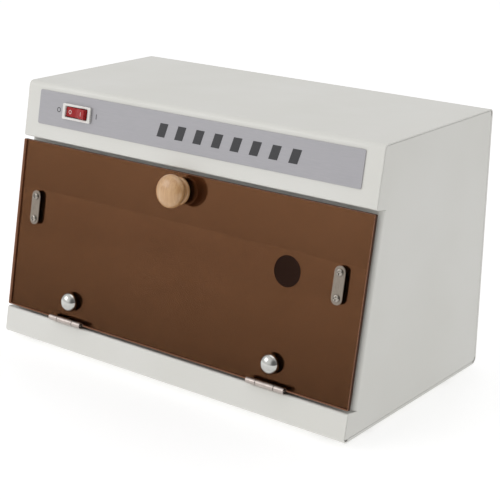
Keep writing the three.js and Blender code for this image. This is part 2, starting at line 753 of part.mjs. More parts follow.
// The leaf on the rail: it lies on the rail's return and carries the two outer knuckles.
function baseLeaf(x) {
  const { length, outerKnuckle, leaf, w } = HINGE;
  const [x0, x1] = [x - length / 2, x + length / 2];
  const [s0, s1] = [RAIL_TOP + GAP, RAIL_TOP + GAP + leaf];
  return joined(
    block(x0, x1, s0, s1, -RECESS + 0.5, w - 2.2),
    block(x0, x0 + outerKnuckle, s0, s1, -1, w),
    block(x1 - outerKnuckle, x1, s0, s1, -1, w),
    knuckle(x0, x0 + outerKnuckle),
    knuckle(x1 - outerKnuckle, x1),
  );
}

// The leaf on the door: it carries the middle knuckle, passes under the door and turns up behind it.
function doorLeaf(x) {
  const { length, outerKnuckle, leaf, w } = HINGE;
  const [x0, x1] = [x - length / 2, x + length / 2];
  const [inner0, inner1] = [x0 + outerKnuckle + GAP, x1 - outerKnuckle - GAP];
  const s0 = RAIL_TOP + leaf + 2 * GAP;
  const leafBody = joined(
    block(x0, x1, s0, s0 + leaf, DOOR_BACK - leaf, w - 2.9),
    block(inner0, inner1, s0, s0 + leaf, -1, w - 0.8),
    block(x0, x1, s0, CAP.s + 9, DOOR_BACK - leaf, DOOR_BACK),
    knuckle(inner0, inner1),
  );
  return cut(leafBody, throughDoor(x, CAP.s, CAP.stud + GAP));
}

// The domed cap in front of the door, with the stud that passes through the door and the leaf.
function hingeCap() {
  const { radius, stud } = CAP;
  const end = DOOR_BACK - HINGE.leaf - 4;
  const shank = [[0, end], [stud, end], [stud, GAP]];
  return turned([...shank, [radius - 0.3, GAP], ...domeProfile(radius, 0.8, 6.2, 6)], 20);
}

function hingeNut(x) {
  const back = DOOR_BACK - HINGE.leaf - GAP;
  const nut = rod([x, CAP.s, back - 2.8], [x, CAP.s, back], 4, 6);
  return cut(nut, throughDoor(x, CAP.s, CAP.stud + GAP));
}

function addDoor() {
  piece(front, "door_panel", doorPanel(), finish(0x5c3d26, 0.05, 0.6));
  piece(front, "door_spot", doorSpot(), rubber());
  piece(front, "knob", knob(), finish(0xc49a6c, 0.35)).position.set(KNOB.x, KNOB.s, 0);
  piece(front, "knob_screw", knobScrew(), zinc()).position.set(KNOB.x, KNOB.s, 0);
  for (const { name, x, s } of catchScrews)
    piece(front, "catch_screw_" + name, catchScrew(), chrome()).position.set(x, s, 0);
  for (const { name, sign } of SIDES) {
    const x = sign * CATCH.x;
    const hinge = sign * HINGE.x;
    piece(front, "catch_plate_" + name, catchPlate(x, CATCH.width, 1.2, GAP), stainless());
    piece(front, "strike_plate_" + name, catchPlate(x, 12, 1, DOOR_BACK - 1), zinc());
    const magnet = block(x - 5.5, x + 5.5, CATCH.s - 13, CATCH.s + 13, -RECESS + GAP, DOOR_BACK - 1 - GAP);
    piece(front, "catch_magnet_" + name, magnet, finish(0x3a3a3c, 0.6));
    piece(front, "hinge_base_leaf_" + name, baseLeaf(hinge), zinc());
    piece(front, "hinge_door_leaf_" + name, doorLeaf(hinge), zinc());
    const reach = HINGE.length / 2;
    const pin = rod([hinge - reach, HINGE.s, HINGE.w], [hinge + reach, HINGE.s, HINGE.w], HINGE.pin, 12);
    piece(front, "hinge_pin_" + name, pin, zinc());
    piece(front, "hinge_cap_" + name, hingeCap(), chrome()).position.set(hinge, CAP.s, 0);
    piece(front, "hinge_nut_" + name, hingeNut(hinge), zinc());
  }
}

addBody();
addChamber();
addElectrics();
addFascia();
addDoor();

export default cabinet;
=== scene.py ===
"""The looks of a bench ultraviolet sterilizer cabinet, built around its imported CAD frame."""

import json
import math

import bmesh
import bpy
from mathutils import Matrix, Vector


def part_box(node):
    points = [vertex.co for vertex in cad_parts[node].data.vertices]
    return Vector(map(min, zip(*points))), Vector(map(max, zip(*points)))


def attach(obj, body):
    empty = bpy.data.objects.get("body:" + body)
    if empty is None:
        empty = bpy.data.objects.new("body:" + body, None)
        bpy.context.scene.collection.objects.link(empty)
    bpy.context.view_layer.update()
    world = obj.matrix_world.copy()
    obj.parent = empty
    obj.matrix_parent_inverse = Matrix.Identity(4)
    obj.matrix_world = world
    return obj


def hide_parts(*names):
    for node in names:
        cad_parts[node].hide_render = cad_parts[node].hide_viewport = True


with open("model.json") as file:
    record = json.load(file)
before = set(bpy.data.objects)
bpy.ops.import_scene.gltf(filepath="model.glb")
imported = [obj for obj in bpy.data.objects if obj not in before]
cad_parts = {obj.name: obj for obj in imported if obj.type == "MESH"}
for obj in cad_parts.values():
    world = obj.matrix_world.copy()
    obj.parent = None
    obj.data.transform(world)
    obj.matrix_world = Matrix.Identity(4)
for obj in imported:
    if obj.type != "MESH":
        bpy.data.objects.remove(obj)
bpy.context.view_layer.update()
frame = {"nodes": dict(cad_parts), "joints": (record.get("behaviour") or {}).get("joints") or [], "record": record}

MM = 0.001
ROW = Matrix.Scale(MM, 4)  # turns millimetres in the row frame into metres
SIDES = {"left": -1, "right": 1}

JOINTS = {joint["name"]: joint for joint in frame["joints"]}
BODY_OF = {node: body for body, nodes in frame["record"]["behaviour"]["bodies"].items() for node in nodes}
SLOT_OF = {part["node"]: part["material_slot"] for part in frame["record"]["subparts"]}

# The camera stands right of the front and looks down at it.
CAMERA_PLACE = (0.6913, -0.8929, 0.4642)
CAMERA_ANGLES = {"azimuth": 37.17, "elevation": 18.13, "roll": 0.85}
CAMERA_LENS = 97.93

# The surround is even, but brighter high on the front's left and darker on its right, beside the camera.
SURROUND = {"even": 0.66, "bright": 1.1, "dark": 0.3}
BRIGHT_SIDE = {"towards": (-0.5, -0.7, 0.5), "from": 0.6, "to": 1.0}
DARK_SIDE = {"towards": (0.8, -0.55, 0.25), "from": 0.65, "to": 0.95}

FLOOR_REACH = 9  # from the floor's middle to its edges, in metres
LIGHTS_AIM = (0, 0, 0.12)

# ---- the front's own frame ----
# Its axes are X, S up the slope and W out of it, in millimetres. W is 0 on the door's face.

X_AXIS = Vector((1, 0, 0))
S_AXIS = Vector(JOINTS["rocker_tilt"]["axis"])
W_AXIS = X_AXIS.cross(S_AXIS)


def front_frame():
    """The frame's place, from the door's face and the underside of the tray."""
    base_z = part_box("base_tray")[0].z
    face = max(W_AXIS.dot(vertex.co) for vertex in frame["nodes"]["door_panel"].data.vertices)
    y = (face - W_AXIS.z * base_z) / W_AXIS.y
    axes = Matrix((X_AXIS, S_AXIS, W_AXIS)).transposed().to_4x4()
    return Matrix.Translation((0, y, base_z)) @ axes @ ROW


FRONT = front_frame()
# A section's X and Y become Y and Z, and it is pulled along X.
ALONG_X = Matrix(((0, 0, 1, 0), (1, 0, 0, 0), (0, 1, 0, 0), (0, 0, 0, 1)))


def corners(node, place):
    """A node's lowest and highest corners in a frame of millimetres."""
    back = place.inverted()
    points = [back @ vertex.co for vertex in frame["nodes"][node].data.vertices]
    low = Vector(min(point[i] for point in points) for i in range(3))
    high = Vector(max(point[i] for point in points) for i in range(3))
    return low, high


def at(place, x, y, z=0.0):
    return place @ Matrix.Translation((x, y, z))


# ---- materials ----


def srgb(red, green, blue):
    """A display colour, from 0 to 255, as a linear one."""
    return tuple(
        value / 12.92 if value <= 0.04045 else ((value + 0.055) / 1.055) ** 2.4
        for value in (red / 255, green / 255, blue / 255)
    )


class Finish:
    """A principled material whose detail comes from procedural textures in the piece's own space."""

    def __init__(self, name, colour, roughness, **sockets):
        self.material = bpy.data.materials.new(name)
        self.material.use_nodes = True
        self.tree = self.material.node_tree
        self.shader = self.tree.nodes["Principled BSDF"]
        self.colour = colour
        self.shader.inputs["Base Color"].default_value = (*colour, 1)
        self.shader.inputs["Roughness"].default_value = roughness
        for socket, value in sockets.items():
            self.shader.inputs[socket.replace("_", " ")].default_value = value

    def node(self, kind, **inputs):
        node = self.tree.nodes.new(kind)
        for name, value in inputs.items():
            node.inputs[name.replace("_", " ")].default_value = value
        return node

    def space(self, stretch, turn=(0, 0, 0)):
        place = self.node("ShaderNodeTexCoord")
        mapping = self.node("ShaderNodeMapping", Scale=stretch, Rotation=turn)
        self.tree.links.new(place.outputs["Object"], mapping.inputs["Vector"])
        return mapping.outputs["Vector"]

    def noise(self, scale, detail=3.0, stretch=(1, 1, 1), turn=(0, 0, 0), distortion=0.0):
        """Noise with that many features per metre."""
        texture = self.node("ShaderNodeTexNoise", Scale=scale, Detail=detail, Distortion=distortion)
        self.tree.links.new(self.space(stretch, turn), texture.inputs["Vector"])
        return texture.outputs["Fac"]

    def height(self, low, high):
        """How high a point lies at rest, from 0 at one height to 1 at another, in metres."""
        split = self.node("ShaderNodeSeparateXYZ")
        self.tree.links.new(self.space((1, 1, 1)), split.inputs["Vector"])
        spread = self.node("ShaderNodeMapRange", From_Min=low, From_Max=high)
        self.tree.links.new(split.outputs["Z"], spread.inputs["Value"])
        return spread.outputs["Result"]

    def cells(self, scale):
        texture = self.node("ShaderNodeTexVoronoi", Scale=scale)
        self.tree.links.new(self.space((1, 1, 1)), texture.inputs["Vector"])
        return texture.outputs["Distance"]

    def bands(self, scale, turn=(0, 0, 0), distortion=0.0):
        texture = self.node("ShaderNodeTexWave", Scale=scale, Distortion=distortion)
        self.tree.links.new(self.space((1, 1, 1), turn), texture.inputs["Vector"])
        return texture.outputs["Fac"]

    def shades(self, factor, other, low=0.3, high=0.7):
        """The colour goes over to another one as the factor rises from low to high."""
        ramp = self.node("ShaderNodeValToRGB")
        ramp.color_ramp.elements[0].position = low
        ramp.color_ramp.elements[0].color = (*self.colour, 1)
        ramp.color_ramp.elements[1].position = high
        ramp.color_ramp.elements[1].color = (*other, 1)
        self.tree.links.new(factor, ramp.inputs["Fac"])
        self.tree.links.new(ramp.outputs["Color"], self.shader.inputs["Base Color"])
        return self

    def worn(self, factor, low, high):
        """The roughness varies between two values with the factor."""
        spread = self.node("ShaderNodeMapRange", From_Min=0.3, From_Max=0.7, To_Min=low, To_Max=high)
        self.tree.links.new(factor, spread.inputs["Value"])
        self.tree.links.new(spread.outputs["Result"], self.shader.inputs["Roughness"])
        return self

    def relief(self, height, depth, strength=1.0):
        """A bump of that depth, in millimetres, on top of the ones before."""
        bump = self.node("ShaderNodeBump", Distance=depth * MM, Strength=strength)
        self.tree.links.new(height, bump.inputs["Height"])
        normal = self.shader.inputs["Normal"]
        if normal.is_linked:
            self.tree.links.new(normal.links[0].from_socket, bump.inputs["Normal"])
        self.tree.links.new(bump.outputs["Normal"], normal)
        return self


def enamel():
    """Baked powder enamel: a faint orange peel, and a little handling sheen."""
    finish = Finish("enamel", srgb(219, 218, 213), 0.42, Coat_Weight=0.15, Coat_Roughness=0.25)
    finish.shades(finish.noise(9, 2), srgb(216, 215, 209), 0.35, 0.65)
    finish.worn(finish.noise(25, 4), 0.36, 0.5)
    finish.relief(finish.noise(700, 2), 0.05, 0.35)
    return finish.relief(finish.noise(60, 1), 0.12, 0.2)


def acrylic():
    """The door's bronze front layer, with very faint wipe marks. What shines is the mirror behind it."""
    finish = Finish("bronze_acrylic", srgb(205, 172, 146), 0.0, Transmission_Weight=1.0, IOR=1.01)
    finish.shades(finish.noise(8, 2), srgb(201, 168, 142))
    return finish.worn(finish.noise(30, 5, (1, 1, 6)), 0.0, 0.008)


def bronze_mirror():
    """The dark reflecting film behind the acrylic, lighter towards its top as a painted reflection of the brighter
    surround above.
    """
    finish = Finish("bronze_mirror", srgb(122, 122, 122), 0.0, Metallic=0.86)
    # Painted reflection: the film's colour grows lighter with height.
    finish.shades(finish.height(0.03, 0.18), srgb(174, 174, 174), 0.0, 1.0)
    return finish.worn(finish.noise(40, 3), 0.0, 0.012)


def cut_acrylic(name, colour, glow=0.0):
    """The acrylic's sawn sides: dark from outside; paler inside, where the pale colour and the glow are painted
    light that stands in for light coming through the sheet.
    """
    # A glow of painted light; the acrylic's edge is no lamp.
    painted_glow = {"Emission_Color": (*srgb(*colour), 1), "Emission_Strength": glow}
    finish = Finish(name, srgb(*colour), 0.35, Transmission_Weight=0.3, IOR=1.05, **painted_glow)
    finish.shades(finish.noise(400, 3), srgb(*(0.9 * value for value in colour)))
    return finish.relief(finish.noise(1500, 3), 0.02, 0.4)


def mirror_paint():
    """The paint that protects the mirror's back."""
    finish = Finish("mirror_paint", srgb(96, 84, 74), 0.6)
    finish.shades(finish.noise(220, 4), srgb(86, 75, 66))
    return finish.relief(finish.noise(900, 3), 0.05, 0.4)


def knob_wood():
    """Pale turned hardwood with fine streaks along the grain, under a clear lacquer."""
    finish = Finish("knob_wood", srgb(203, 162, 115), 0.34, Coat_Weight=0.7, Coat_Roughness=0.05)
    grain = (0.0, 0.9, 0.35)
    finish.shades(finish.noise(520, 4, (1, 1, 0.07), grain, 0.3), srgb(183, 138, 92), 0.34, 0.7)
    finish.worn(finish.noise(600, 3, (1, 1, 0.15), grain), 0.28, 0.42)
    return finish.relief(finish.noise(1500, 3, (1, 1, 0.08), grain), 0.03, 0.4)


def chrome(name="chrome", colour=(194, 194, 190)):
    finish = Finish(name, srgb(*colour), 0.07, Metallic=1.0)
    finish.shades(finish.noise(300, 3), srgb(*(value - 12 for value in colour)))
    finish.worn(finish.noise(500, 5), 0.05, 0.13)
    return finish.relief(finish.noise(260, 2), 0.01, 0.3)


def stainless():
    """Stainless sheet, brushed along the slope."""
    finish = Finish("stainless", srgb(146, 137, 127), 0.3, Metallic=1.0, Anisotropic=0.3)
    brushing = finish.noise(2600, 3, (1, 0.04, 0.04))
    finish.shades(brushing, srgb(124, 115, 105), 0.25, 0.75)
    finish.worn(finish.noise(2600, 4, (1, 0.04, 0.04)), 0.22, 0.42)
    return finish.relief(brushing, 0.02, 0.35)


def zinc(name="zinc", colour=(184, 174, 168)):
    """Bright zinc plate with its soft mottled crystals."""
    finish = Finish(name, srgb(*colour), 0.3, Metallic=1.0)
    finish.shades(finish.cells(260), srgb(*(value - 16 for value in colour)), 0.1, 0.9)
    finish.worn(finish.noise(240, 3), 0.26, 0.38)
    return finish.relief(finish.noise(500, 2), 0.006, 0.25)


def rubber():
    finish = Finish("rubber", srgb(30, 23, 22), 0.78, Specular_IOR_Level=0.2)
    finish.shades(finish.noise(180, 4), srgb(23, 18, 18))
    finish.worn(finish.noise(300, 3), 0.66, 0.86)
    return finish.relief(finish.noise(2400, 3), 0.04, 0.6)


def moulded(name, colour, roughness=0.34, **sockets):
    """Moulded plastic with a fine spark-eroded texture."""
    finish = Finish(name, srgb(*colour), roughness, **sockets)
    finish.shades(finish.noise(60, 3), srgb(*(0.95 * value for value in colour)))
    finish.worn(finish.noise(350, 4), 0.85 * roughness, 1.2 * roughness)
    return finish.relief(finish.noise(2600, 2), 0.02, 0.4)


def rocker_red():
    """Red plastic that lets some light in."""
    glow = {"Subsurface_Weight": 0.3, "Subsurface_Radius": (0.004, 0.001, 0.001)}
    return moulded("rocker_red", (160, 14, 18), 0.22, Specular_IOR_Level=0.3, **glow)


def label_metal():
    """Grey anodised sheet with a fine grain along the plate."""
    finish = Finish("label", srgb(170, 168, 172), 0.42, Metallic=0.2)
    grain = finish.noise(3000, 3, (0.03, 1, 1))
    finish.shades(grain, srgb(163, 162, 166), 0.3, 0.7)
    finish.worn(finish.noise(80, 4), 0.36, 0.5)
    return finish.relief(grain, 0.01, 0.3)


def ink(name, colour):
    finish = Finish(name, srgb(*colour), 0.45)
    finish.shades(finish.noise(900, 4), srgb(*(value + 9 for value in colour)))
    return finish.relief(finish.noise(2200, 2), 0.01, 0.4)


def lamp_glass():
    finish = Finish("lamp_glass", srgb(236, 242, 248), 0.02, Transmission_Weight=0.95, IOR=1.46)
    finish.shades(finish.noise(20, 2), srgb(228, 236, 246))
    return finish.worn(finish.noise(120, 4), 0.0, 0.06)


def brushed_aluminium(name, colour, roughness):
    finish = Finish(name, srgb(*colour), roughness, Metallic=1.0)
    brushing = finish.noise(1800, 3, (0.05, 1, 1))
    finish.shades(brushing, srgb(*(value - 16 for value in colour)))
    finish.worn(finish.noise(120, 4), 0.8 * roughness, 1.4 * roughness)
    return finish.relief(brushing, 0.015, 0.3)


def laminated_steel():
    """The ballast's stacked sheets under grey lacquer."""
    finish = Finish("ballast_steel", srgb(128, 131, 136), 0.45, Metallic=0.5)
    finish.shades(finish.noise(90, 4), srgb(110, 113, 118))
    return finish.relief(finish.bands(320, (0, math.radians(90), 0)), 0.12, 0.6)


def ferrite():
    finish = Finish("magnet", srgb(62, 61, 62), 0.55, Metallic=0.3)
    finish.shades(finish.noise(500, 5), srgb(48, 47, 49))
    return finish.relief(finish.noise(1600, 4), 0.04, 0.5)


def brass():
    finish = Finish("brass", srgb(206, 190, 146), 0.25, Metallic=1.0)
    finish.shades(finish.noise(300, 4), srgb(186, 168, 124))
    finish.worn(finish.noise(700, 3), 0.2, 0.36)
    return finish.relief(finish.noise(1200, 2), 0.01, 0.3)


def floor_paint():
    """Pale paint with a little light of its own, so that the floor stays as pale as the surround."""
    own_light = {"Emission_Color": (1, 1, 1, 1), "Emission_Strength": 0.55}
    finish = Finish("floor", srgb(205, 205, 205), 0.5, **own_light)
    return finish.shades(finish.noise(3, 2), srgb(201, 201, 201))


FINISHES = {
    "enamel": enamel(),
    "rubber": rubber(),
    "zinc": zinc(),
    "reflector": brushed_aluminium("reflector", (222, 224, 226), 0.14),
    "lamp_glass": lamp_glass(),
    "cap_aluminium": brushed_aluminium("cap_aluminium", (204, 206, 208), 0.3),
    "white_plastic": moulded("white_plastic", (233, 231, 226)),
    "chrome": chrome(),
    "ballast_steel": laminated_steel(),
    "black_plastic": moulded("black_plastic", (30, 30, 31), 0.42),
    "brass": brass(),
    "lead_insulation": moulded("lead_insulation", (150, 40, 32), 0.45),
    "label": label_metal(),
    "magnet": ferrite(),
    "bronze_acrylic": acrylic(),
    "knob_wood": knob_wood(),
    "stainless": stainless(),
    "rocker_red": rocker_red(),
}
MIRROR = bronze_mirror()
MIRROR_PAINT = mirror_paint()
CUT_OUTSIDE = cut_acrylic("cut_outside", (84, 62, 51))
# The inner layer of the sawn edge: its pale colour and faint glow are painted light, standing in for light coming
# through the sheet.
CUT_INSIDE_PAINTED_GLOW = cut_acrylic("cut_inside", (172, 140, 124), glow=0.38)
DARK_INK = ink("dark_ink", (40, 40, 43))
PALE_INK = ink("pale_ink", (222, 196, 192))
DARK_PATCH = ink("dark_patch", (36, 47, 74))
SCREW_STEEL = chrome("screw_steel", (158, 152, 144))
TUNGSTEN = zinc("tungsten", (140, 140, 145))

# ---- meshes, drawn in millimetres ----


def arc(x, y, radius, start, end, steps=8, tall=None):
    """Points of an arc, with angles in degrees. With tall it is an ellipse of that height."""
    angles = [math.radians(start + (end - start) * i / steps) for i in range(steps + 1)]
    return [(x + radius * math.cos(angle), y + (tall or radius) * math.sin(angle)) for angle in angles]


def rounded(x, y, width, height, radius, steps=8):
    """The outline of a rounded rectangle."""
    right, left = x + width / 2 - radius, x - width / 2 + radius
    top, bottom = y + height / 2 - radius, y - height / 2 + radius
    centres = [(right, top), (left, top), (left, bottom), (right, bottom)]
    outline = []
    for turn, (cx, cy) in enumerate(centres):
        outline += arc(cx, cy, radius, 90 * turn, 90 * turn + 90, steps)
    return outline


def circle(x, y, radius, steps=32):
    return arc(x, y, radius, 0, 360, steps)[:-1]


def plate(outline, low, high, holes=()):
    """A flat piece with that outline and holes, between two heights."""
    bm = bmesh.new()
    for loop in (outline, *holes):
        ring = [bm.verts.new((x, y, low)) for x, y in loop]
        for pair in zip(ring, ring[1:] + ring[:1]):
            bm.edges.new(pair)
    bmesh.ops.remove_doubles(bm, verts=bm.verts, dist=1e-4)
    bmesh.ops.triangle_fill(bm, use_beauty=True, edges=bm.edges)
    bmesh.ops.dissolve_limit(bm, angle_limit=0.001, verts=bm.verts, edges=bm.edges)
    raised = bmesh.ops.extrude_face_region(bm, geom=bm.faces[:])["geom"]
    moved = [item for item in raised if isinstance(item, bmesh.types.BMVert)]
    bmesh.ops.translate(bm, verts=moved, vec=(0, 0, high - low))
    return bm


def turned(profile, steps=64):
    """A turned solid around Z, from (radius, height) pairs that start and end on the axis."""
    bm = bmesh.new()
    line = [bm.verts.new((radius, 0, height)) for radius, height in profile]
    edges = [bm.edges.new(pair) for pair in zip(line, line[1:])]
    bmesh.ops.spin(bm, geom=line + edges, axis=(0, 0, 1), cent=(0, 0, 0), angle=math.tau, steps=steps)
    bmesh.ops.remove_doubles(bm, verts=bm.verts, dist=1e-4)
    return bm


def bent(line, thickness):
    """The outline of a bent strip whose middle follows a line."""
    points = [Vector(point) for point in line]
    steps = [(after - before).normalized() for before, after in zip(points, points[1:])]
    outer, inner = [], []
    for i, point in enumerate(points):
        before, after = steps[max(i - 1, 0)], steps[min(i, len(steps) - 1)]
        normal = Vector((-before.y, before.x))
        mitre = (normal + Vector((-after.y, after.x))).normalized()
        reach = mitre * (thickness / 2 / mitre.dot(normal))
        outer.append(tuple(point + reach))
        inner.insert(0, tuple(point - reach))
    return outer + inner


def wire(points, radius, closed=False, sides=4):
    """A round wire through the points, as a mesh."""
    curve = bpy.data.curves.new("wire", "CURVE")
    curve.dimensions = "3D"
    curve.bevel_depth = radius
    curve.bevel_resolution = sides
    curve.use_fill_caps = True
    spline = curve.splines.new("POLY")
    spline.points.add(len(points) - 1)
    for knot, point in zip(spline.points, points):
        knot.co = (*point, 1)
    spline.use_cyclic_u = closed
    carrier = bpy.data.objects.new("wire", curve)
    mesh = bpy.data.meshes.new_from_object(carrier)
    bm = bmesh.new()
    bm.from_mesh(mesh)
    bpy.data.objects.remove(carrier)
    bpy.data.curves.remove(curve)
    bpy.data.meshes.remove(mesh)
    return bm


def together(*meshes):
    """Several meshes as one."""
    whole = meshes[0]
    for part in meshes[1:]:
        carrier = bpy.data.meshes.new("carrier")
        part.to_mesh(carrier)
        part.free()
        whole.from_mesh(carrier)
        bpy.data.meshes.remove(carrier)
    return whole


def loose(bm):
    """A mesh on an object of its own, for the boolean modifier to work on."""
    bmesh.ops.recalc_face_normals(bm, faces=bm.faces)
    mesh = bpy.data.meshes.new("loose")
    bm.to_mesh(mesh)
    bm.free()
    carrier = bpy.data.objects.new("loose", mesh)
    bpy.context.scene.collection.objects.link(carrier)
    return carrier


def cut(bm, *others):
    """A mesh with the others cut from it."""
    target = loose(bm)
    tools = [loose(other) for other in others]
    for tool in tools:
        boolean = target.modifiers.new("boolean", "BOOLEAN")
        boolean.operation = "DIFFERENCE"
        boolean.solver = "EXACT"
        boolean.object = tool
    graph = bpy.context.evaluated_depsgraph_get()
    mesh = bpy.data.meshes.new_from_object(target.evaluated_get(graph))
    result = bmesh.new()
    result.from_mesh(mesh)
    for carrier in (target, *tools):
        bpy.data.objects.remove(carrier)
    bpy.data.meshes.remove(mesh)
    return result


def copied(node):
    """A CAD node's mesh in millimetres, with its flat faces made whole."""
    bm = bmesh.new()
    bm.from_mesh(frame["nodes"][node].data)
    bm.transform(ROW.inverted())
    bmesh.ops.remove_doubles(bm, verts=bm.verts, dist=1e-3)
    bmesh.ops.dissolve_limit(bm, angle_limit=math.radians(0.5), verts=bm.verts, edges=bm.edges)
    return bm


# ---- pieces ----


def piece(name, bm, node, place=ROW, bevel=0.0, finish=None, replaces=True):
    """Makes a mesh a piece that rides with a CAD node's body, and by default stands for that node."""
    bm.transform(place)
    bmesh.ops.recalc_face_normals(bm, faces=bm.faces)
    for face in bm.faces:
        face.smooth = True
    mesh = bpy.data.meshes.new(name)
    bm.to_mesh(mesh)
    bm.free()
    mesh.materials.append((finish or FINISHES[SLOT_OF[node]]).material)
    made = bpy.data.objects.new(name, mesh)
    bpy.context.scene.collection.objects.link(made)
    if bevel:
        edge = made.modifiers.new("bevel", "BEVEL")
        edge.width = bevel * MM
        edge.segments = 3
        edge.limit_method = "ANGLE"
        edge.angle_limit = math.radians(32)
        edge.use_clamp_overlap = True
    normals = made.modifiers.new("normals", "WEIGHTED_NORMAL")
    normals.mode = "FACE_AREA_WITH_ANGLE"
    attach(made, BODY_OF[node])
    if replaces:
        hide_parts(node)


def cross_recess(height, reach, upward=False):
    """The cutters for the cross in a screw head. They go down from that height by default."""
    depth, slot = 2.0, 1.0
    low, high = (height, height + depth) if upward else (height - depth, height)
    return [plate(rounded(0, 0, *size, 0.2, 2), low, high) for size in ((reach, slot), (slot, reach))]


def add_camera():
    """A camera that looks back along the direction its azimuth and elevation give, turned by its roll."""
    data = bpy.data.cameras.new("camera")
    data.lens = CAMERA_LENS
    camera = bpy.data.objects.new("camera", data)
    bpy.context.scene.collection.objects.link(camera)
    azimuth, elevation, roll = (math.radians(angle) for angle in CAMERA_ANGLES.values())
    level = Vector((math.cos(azimuth), math.sin(azimuth), 0))
    ahead = math.cos(elevation)
    back = Vector((math.sin(azimuth) * ahead, -math.cos(azimuth) * ahead, math.sin(elevation)))
    upright = back.cross(level)
    right = math.cos(roll) * level + math.sin(roll) * upright
    turn = Matrix((right, back.cross(right), back)).transposed().to_4x4()
    camera.matrix_world = Matrix.Translation(CAMERA_PLACE) @ turn
    bpy.context.scene.camera = camera


def add_light(name, place, size, power):
    data = bpy.data.lights.new(name, "AREA")
    data.shape = "RECTANGLE"
    data.size, data.size_y = size
    data.energy = power
    light = bpy.data.objects.new(name, data)
    bpy.context.scene.collection.objects.link(light)
    light.location = place
    light.rotation_euler = (Vector(place) - Vector(LIGHTS_AIM)).to_track_quat("Z", "Y").to_euler()


def add_studio():
    """A plain pale floor, an even pale surround and large soft lights."""
    bm = bmesh.new()
    bmesh.ops.create_grid(bm, x_segments=8, y_segments=8, size=FLOOR_REACH)
    mesh = bpy.data.meshes.new("floor")
    bm.to_mesh(mesh)
    bm.free()
    mesh.materials.append(floor_paint().material)
    floor = bpy.data.objects.new("floor", mesh)
    bpy.context.scene.collection.objects.link(floor)

    add_surround()
    add_light("key", place=(-1.5, -1.7, 1.3), size=(1.4, 1.1), power=8)
    add_light("overhead", place=(0.1, 0.3, 2.0), size=(1.6, 1.6), power=7.5)
    bpy.context.scene.view_settings.view_transform = "Standard"


def add_surround():
    """The world's strength: even, times a brighter stretch on one side and a darker one on another."""
    world = bpy.data.worlds.new("studio")
    world.use_nodes = True
    tree = world.node_tree
    bright = surround_patch(tree, BRIGHT_SIDE, SURROUND["even"], SURROUND["bright"])
    left_over = surround_patch(tree, DARK_SIDE, 1.0, SURROUND["dark"])
    strength = tree.nodes.new("ShaderNodeMath")
    strength.operation = "MULTIPLY"
    tree.links.new(bright, strength.inputs[0])
    tree.links.new(left_over, strength.inputs[1])
    tree.links.new(strength.outputs["Value"], tree.nodes["Background"].inputs["Strength"])
    tree.nodes["Background"].inputs["Color"].default_value = (1, 1, 1, 1)
    bpy.context.scene.world = world


def surround_patch(tree, patch, outside, inside):
    """A value that goes over from one to another towards a side of the surround."""
    direction = tree.nodes.new("ShaderNodeTexCoord")
    towards = tree.nodes.new("ShaderNodeVectorMath")
    towards.operation = "DOT_PRODUCT"
    towards.inputs[1].default_value = Vector(patch["towards"]).normalized()
    spread = tree.nodes.new("ShaderNodeMapRange")
    spread.interpolation_type = "SMOOTHSTEP"
    spread.inputs["From Min"].default_value = patch["from"]
    spread.inputs["From Max"].default_value = patch["to"]
    spread.inputs["To Min"].default_value = outside
    spread.inputs["To Max"].default_value = inside
    tree.links.new(direction.outputs["Generated"], towards.inputs[0])
    tree.links.new(towards.outputs["Value"], spread.inputs["Value"])
    return spread.outputs["Result"]


# ---- body ----


def add_body():
    """The bent and flat sheets, the chamber's ceiling, the feet and the screws under the cabinet."""
    for node in ("top_back_cover", "base_tray", "side_panel_left", "side_panel_right"):
        piece(node + "_sheet", copied(node), node, bevel=0.22)
    piece("chamber_ceiling_sheet", copied("chamber_ceiling"), "chamber_ceiling", bevel=0.15)
    for side in SIDES:
        for end in ("front", "back"):
            add_foot(f"{side}_{end}")
            add_base_screw(f"{side}_{end}")


def add_foot(spot):
    """A rubber foot with a rounded rim, a groove, a hollow underside and a post through the sheet."""
    node = "foot_" + spot
    low, high = corners(node, ROW)
    middle, radius = (low + high) / 2, (high.x - low.x) / 2
    collar = low.z + 3.7
    hollow = 0.5
    rounding = 0.9
    post = 2
    profile = [(0, hollow), (radius - 2.2, hollow), (radius - 1.7, 0)]
    profile += arc(radius - rounding, rounding, rounding, -90, 20, 6)
    profile += [(radius - 0.2, 2.0), (radius - 0.5, 2.3), (radius - 0.3, 2.6), (radius - 0.6, collar)]
    profile += [(post, collar), (post, high.z - 0.4), (post - 0.4, high.z), (0, high.z)]
    piece(node + "_rubber", turned(profile), node, at(ROW, middle.x, middle.y), 0.15)


def add_base_screw(spot):
    """A screw whose domed head points down, with a cross in it."""
    node = "base_screw_" + spot
    low, high = corners(node, ROW)
    middle, radius = (low + high) / 2, (high.x - low.x) / 2
    dome = 1.3
    shank = 1.5
    top = low.z + dome + 0.5
    profile = [(0, low.z), *arc(0, low.z + dome, radius, -80, -6, 6, tall=dome), (radius, top)]
    profile += [(shank, top), (shank, high.z - 0.8), (shank - 0.6, high.z), (0, high.z)]
    head = cut(turned(profile, 40), *cross_recess(low.z - 1, 3.4, upward=True))
    piece(node + "_head", head, node, at(ROW, middle.x, middle.y), 0.08)


# ---- door ----

FILM = 0.2  # the thickness of the paint on the door's back, and of the mirror
MIRROR_DEPTH = 0.45  # from the door's painted back to its mirror's face
MIRROR_BORDER = 1.1  # how far the mirror stops short of the door's edges
CUT_SKIN = 0.25  # the thickness of each layer of the sawn edge

LEAF = 0.6  # the thickness of a hinge's leaves
OUTER_KNUCKLE = 9.4
KNUCKLE_GAP = 0.5


def door_outline(inset):
    """The door's outline in the front's frame, drawn in by that much."""
    low, high = corners("door_panel", FRONT)
    width, height = high.x - low.x - 2 * inset, high.y - low.y - 2 * inset
    return rounded(0, (low.y + high.y) / 2, width, height, 1 - inset / 2)


